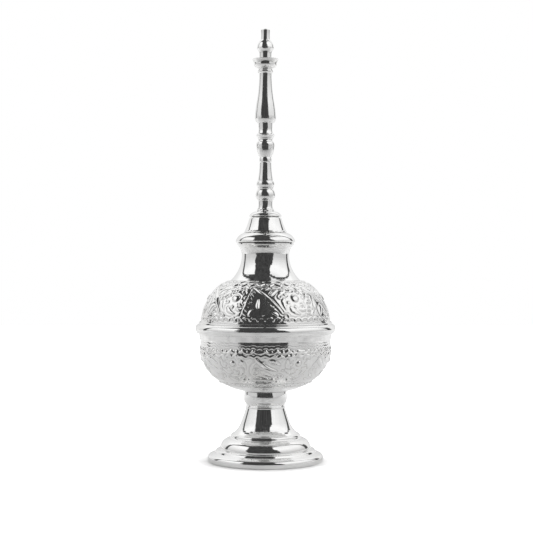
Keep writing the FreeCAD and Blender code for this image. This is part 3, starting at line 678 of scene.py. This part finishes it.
lathe("foot_shell", "pot", plain_silver, uneven=0.02, seed=1)
lathe("foot_collar", "pot", plain_silver, uneven=0.03, seed=2, swell=0.24, longest=0.3)
band_foot, band_top = (corner[2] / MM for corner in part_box("belly_band"))
collar_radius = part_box("foot_collar")[1][0] / MM
neck_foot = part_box("neck")[0][2] / MM - 0.1
chased(
    "lower_bowl", upward=-1, hidden_z=band_foot, last_column=0, last_value=collar_radius,
    rows=136, ornament=bowl_ornament, depth=1.35, swell=wall_swell, seed=3,
)
chased(
    "upper_dome", upward=1, hidden_z=band_top, last_column=1, last_value=neck_foot,
    rows=120, ornament=dome_ornament, depth=1.0, swell=no_swell, seed=4,
)
lathe("belly_band", "pot", plain_silver, uneven=0.02, seed=5)
lathe("neck", "pot", plain_silver, uneven=0.03, seed=6)
lathe("cap_rim", "spout", plain_silver, uneven=0.02, seed=7)
bell_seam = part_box("cap_bell")[0][2] / MM + 0.4
lathe("cap_bell", "spout", plain_silver, uneven=0.03, seed=8, solder=bell_seam)
lathe("cap_top_collar", "spout", plain_silver, uneven=0.02, seed=9)
spout_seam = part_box("cap_top_collar")[1][2] / MM + 0.8
lathe("spout_lower", "spout", cast_silver, uneven=0.03, seed=10, solder=spout_seam)
lathe("spout_ferrule", "spout", plain_silver, uneven=0.02, seed=11)
lathe("drip_cup", "spout", plain_silver, uneven=0.02, seed=13)

for node, material in (
    ("foot_bolt", brass),
    ("foot_washer", brass),
    ("foot_nut", brass),
    ("neck_thread_ring", brass),
    ("cap_thread_ring", brass),
    ("bolt_seal", rubber),
    ("cap_gasket", rubber),
    ("tip_washer", rubber),
    ("sprinkler_tip", plain_silver),
    ("spout_upper", cast_silver),  # its socket's thread is a helix, which a turned outline can't give
):
    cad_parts[node].data.materials.clear()
    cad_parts[node].data.materials.append(material)


# ---------------------------------------------------------------- floor, light and camera


FLOOR_FRONT = -0.42  # the white table ends here, and what is dark beyond it shows in the bowl
FLOOR_REACH = 1.6  # how far the table runs to each side and to the back
SHADOW_EDGE = (0.032, 0.050)  # the painted contact shadow on the floor, from under the foot's rim out to where the table is all white
LENS, SENSOR = 82.9, 36.0
EYE = (0.0006, -0.712, 0.1125)  # from the curve of the foot's front edge in the photograph


def make_floor():
    """A white table with painted light and shade: the silver sees its colour darker in front and brighter
    behind, and the camera sees it raised past white, with painted shade round the foot.
    """
    far = FLOOR_REACH
    corners = [(-far, FLOOR_FRONT, 0), (far, FLOOR_FRONT, 0), (far, far, 0), (-far, far, 0)]
    mesh = bpy.data.meshes.new("floor")
    mesh.from_pydata(corners, [], [(0, 1, 2, 3)])
    floor = bpy.data.objects.new("floor", mesh)
    bpy.context.scene.collection.objects.link(floor)
    material = bpy.data.materials.new("floor")
    n = Nodes(material)
    seen = n.add("ShaderNodeLightPath").outputs["Is Camera Ray"]
    spot = n.add("ShaderNodeTexCoord").outputs["Object"]
    y = n.add("ShaderNodeSeparateXYZ", {0: spot}).outputs[1]
    # painted shade and light in what the silver reflects: the floor's colour darkens towards the front and
    # rises past white behind
    front, behind = n.spread(y, FLOOR_FRONT, -0.02, 0.62, 1.12), n.spread(y, 0.0, 0.25, 0.0, 0.4)
    tone = n.maths("ADD", front, behind)
    tone = n.maths("ADD", tone, n.spread(n.noise(spot, 14.0, 2.0), 0.3, 0.7, -0.2, 0.2))
    painted_floor_light_and_shade = n.add("ShaderNodeCombineColor", {0: tone, 1: tone, 2: tone}).outputs[0]
    away = n.add("ShaderNodeVectorMath", {0: spot}, operation="LENGTH").outputs["Value"]
    # for camera rays the floor's colour is raised past white (painted light), and lowered round the foot
    # into a painted contact shadow that deepens the real one
    white = n.spread(away, *SHADOW_EDGE, 1.45, 3.1)
    white = n.add("ShaderNodeCombineColor", {0: white, 1: white, 2: white}).outputs[0]
    shade = n.blend(seen, painted_floor_light_and_shade, white)
    n.wire(Base_Color=shade, Roughness=0.7, Specular_IOR_Level=0.1)
    mesh.materials.append(material)


# For each side: x's sign, the top edge's steepness z / |x| by y, how thick the top edge is towards
# the front and the back, and the y of the upright edge's two sides, at the horizon and higher up.
FRAMES = (
    (-1, ((-0.4, 2.3), (-0.2, 1.62), (0.0, 1.33), (0.2, 1.09), (0.35, 0.80), (0.5, 0.45)),
     (2.3, 1.5), (0.365, 0.345), (0.57, 0.50)),
    (1, ((-0.43, 4.5), (-0.3, 3.3), (-0.1, 2.37), (0.06, 1.86), (0.19, 1.49), (0.34, 1.05), (0.55, 0.45)),
     (1.8, 1.45), (0.53, 0.42), (0.76, 0.62)),
)


def make_world():
    """A white light tent with a dark opening towards the front, where the camera looks in.

    x, y and z are the parts of each direction; the shapes in it come from the photograph's reflections.
    """
    world = bpy.data.worlds.new("tent")
    bpy.context.scene.world = world
    n = Nodes(world)
    spot = n.add("ShaderNodeTexCoord").outputs["Generated"]
    axes = n.add("ShaderNodeSeparateXYZ", {0: spot})
    x, y, z = (axes.outputs[k] for k in range(3))
    side = n.maths("ABSOLUTE", x)
    # the dark opening: wide at the horizon, narrow and a little to the left overhead
    moved = n.maths("ADD", x, n.spread(z, 0.0, 0.6, 0.04, 0.13))
    frayed = n.spread(n.noise(spot, 5.0, 3.0), 0.3, 0.7, -0.04, 0.04)
    half_width = n.maths("ADD", n.curve(z, ((0.0, 0.69), (0.4, 0.62), (0.7, 0.44), (1.0, 0.30))), frayed)
    inside = n.spread(n.maths("SUBTRACT", half_width, n.maths("ABSOLUTE", moved)), -0.012, 0.012)
    opening = n.maths("MULTIPLY", inside, n.spread(y, 0.26, 0.18))
    # two side panels in dark frames; the steepness at which a frame's top edge runs depends on y
    steep = n.maths("DIVIDE", z, n.maths("MAXIMUM", side, 0.02))
    frames = None
    for sign, edge, thick, inner, outer in FRAMES:
        top = n.curve(y, edge)
        share = n.maths("DIVIDE", steep, top)
        bottom = n.maths("SUBTRACT", n.spread(y, -0.2, 0.3, *thick), share)
        level = n.maths("MULTIPLY", n.spread(share, 1.0, 1.04), n.spread(bottom, 0.0, 0.06))
        near, far = n.spread(z, -0.1, 0.56, *inner), n.spread(z, -0.1, 0.56, *outer)
        level = n.maths("MULTIPLY", level, n.spread(n.maths("SUBTRACT", far, y), 0.0, 0.03))
        upright = n.spread(n.maths("SUBTRACT", y, near), 0.0, 0.03)
        upright = n.maths("MULTIPLY", upright, n.spread(share, 1.05, 1.0))
        upright = n.maths("MULTIPLY", upright, n.spread(n.maths("SUBTRACT", far, y), 0.0, 0.03))
        here = n.spread(n.maths("MULTIPLY", x, sign), 0.0, 0.01)
        one = n.maths("MULTIPLY", n.maths("MAXIMUM", level, upright), here)
        frames = one if frames is None else n.maths("MAXIMUM", frames, one)
    frames = n.maths("MULTIPLY", frames, 0.97)
    front = n.spread(y, 0.8, 0.5)
    low = n.maths("MULTIPLY", front, n.spread(z, 0.10, 0.6, 0.42, 0.0))
    behind = n.spread(y, 0.55, 1.0, 0.0, 0.30)
    panel = n.maths("SUBTRACT", n.spread(z, 0.80, 0.95, 1.03, 0.80), n.maths("ADD", low, behind))
    patches = n.spread(n.noise(spot, 2.2, 2.0), 0.3, 0.7, -0.05, 0.05)
    tone = n.maths("ADD", panel, patches)
    light = n.add("ShaderNodeCombineColor", {0: tone, 1: tone, 2: tone}).outputs[0]
    light = n.blend(frames, light, (0.04, 0.04, 0.04, 1))
    grain = n.spread(n.noise(spot, 9.0, 3.0), 0.35, 0.7, 0.035, 0.075)
    dark = n.add("ShaderNodeCombineColor", {0: grain, 1: grain, 2: grain}).outputs[0]
    light = n.blend(opening, light, dark)
    seen = n.add("ShaderNodeLightPath").outputs["Is Camera Ray"]
    light = n.blend(seen, light, (1.0, 1.0, 1.0, 1))
    n.tree.links.new(light, n.tree.nodes["Background"].inputs["Color"])


def make_camera():
    """Level with the neck and straight in front."""
    data = bpy.data.cameras.new("camera")
    data.sensor_width = SENSOR
    data.lens = LENS
    camera = bpy.data.objects.new("camera", data)
    camera.location = EYE
    camera.rotation_euler = (math.radians(90), 0, 0)
    bpy.context.scene.collection.objects.link(camera)
    bpy.context.scene.camera = camera


make_floor()
make_world()
make_camera()
bpy.context.scene.view_settings.view_transform = "Standard"
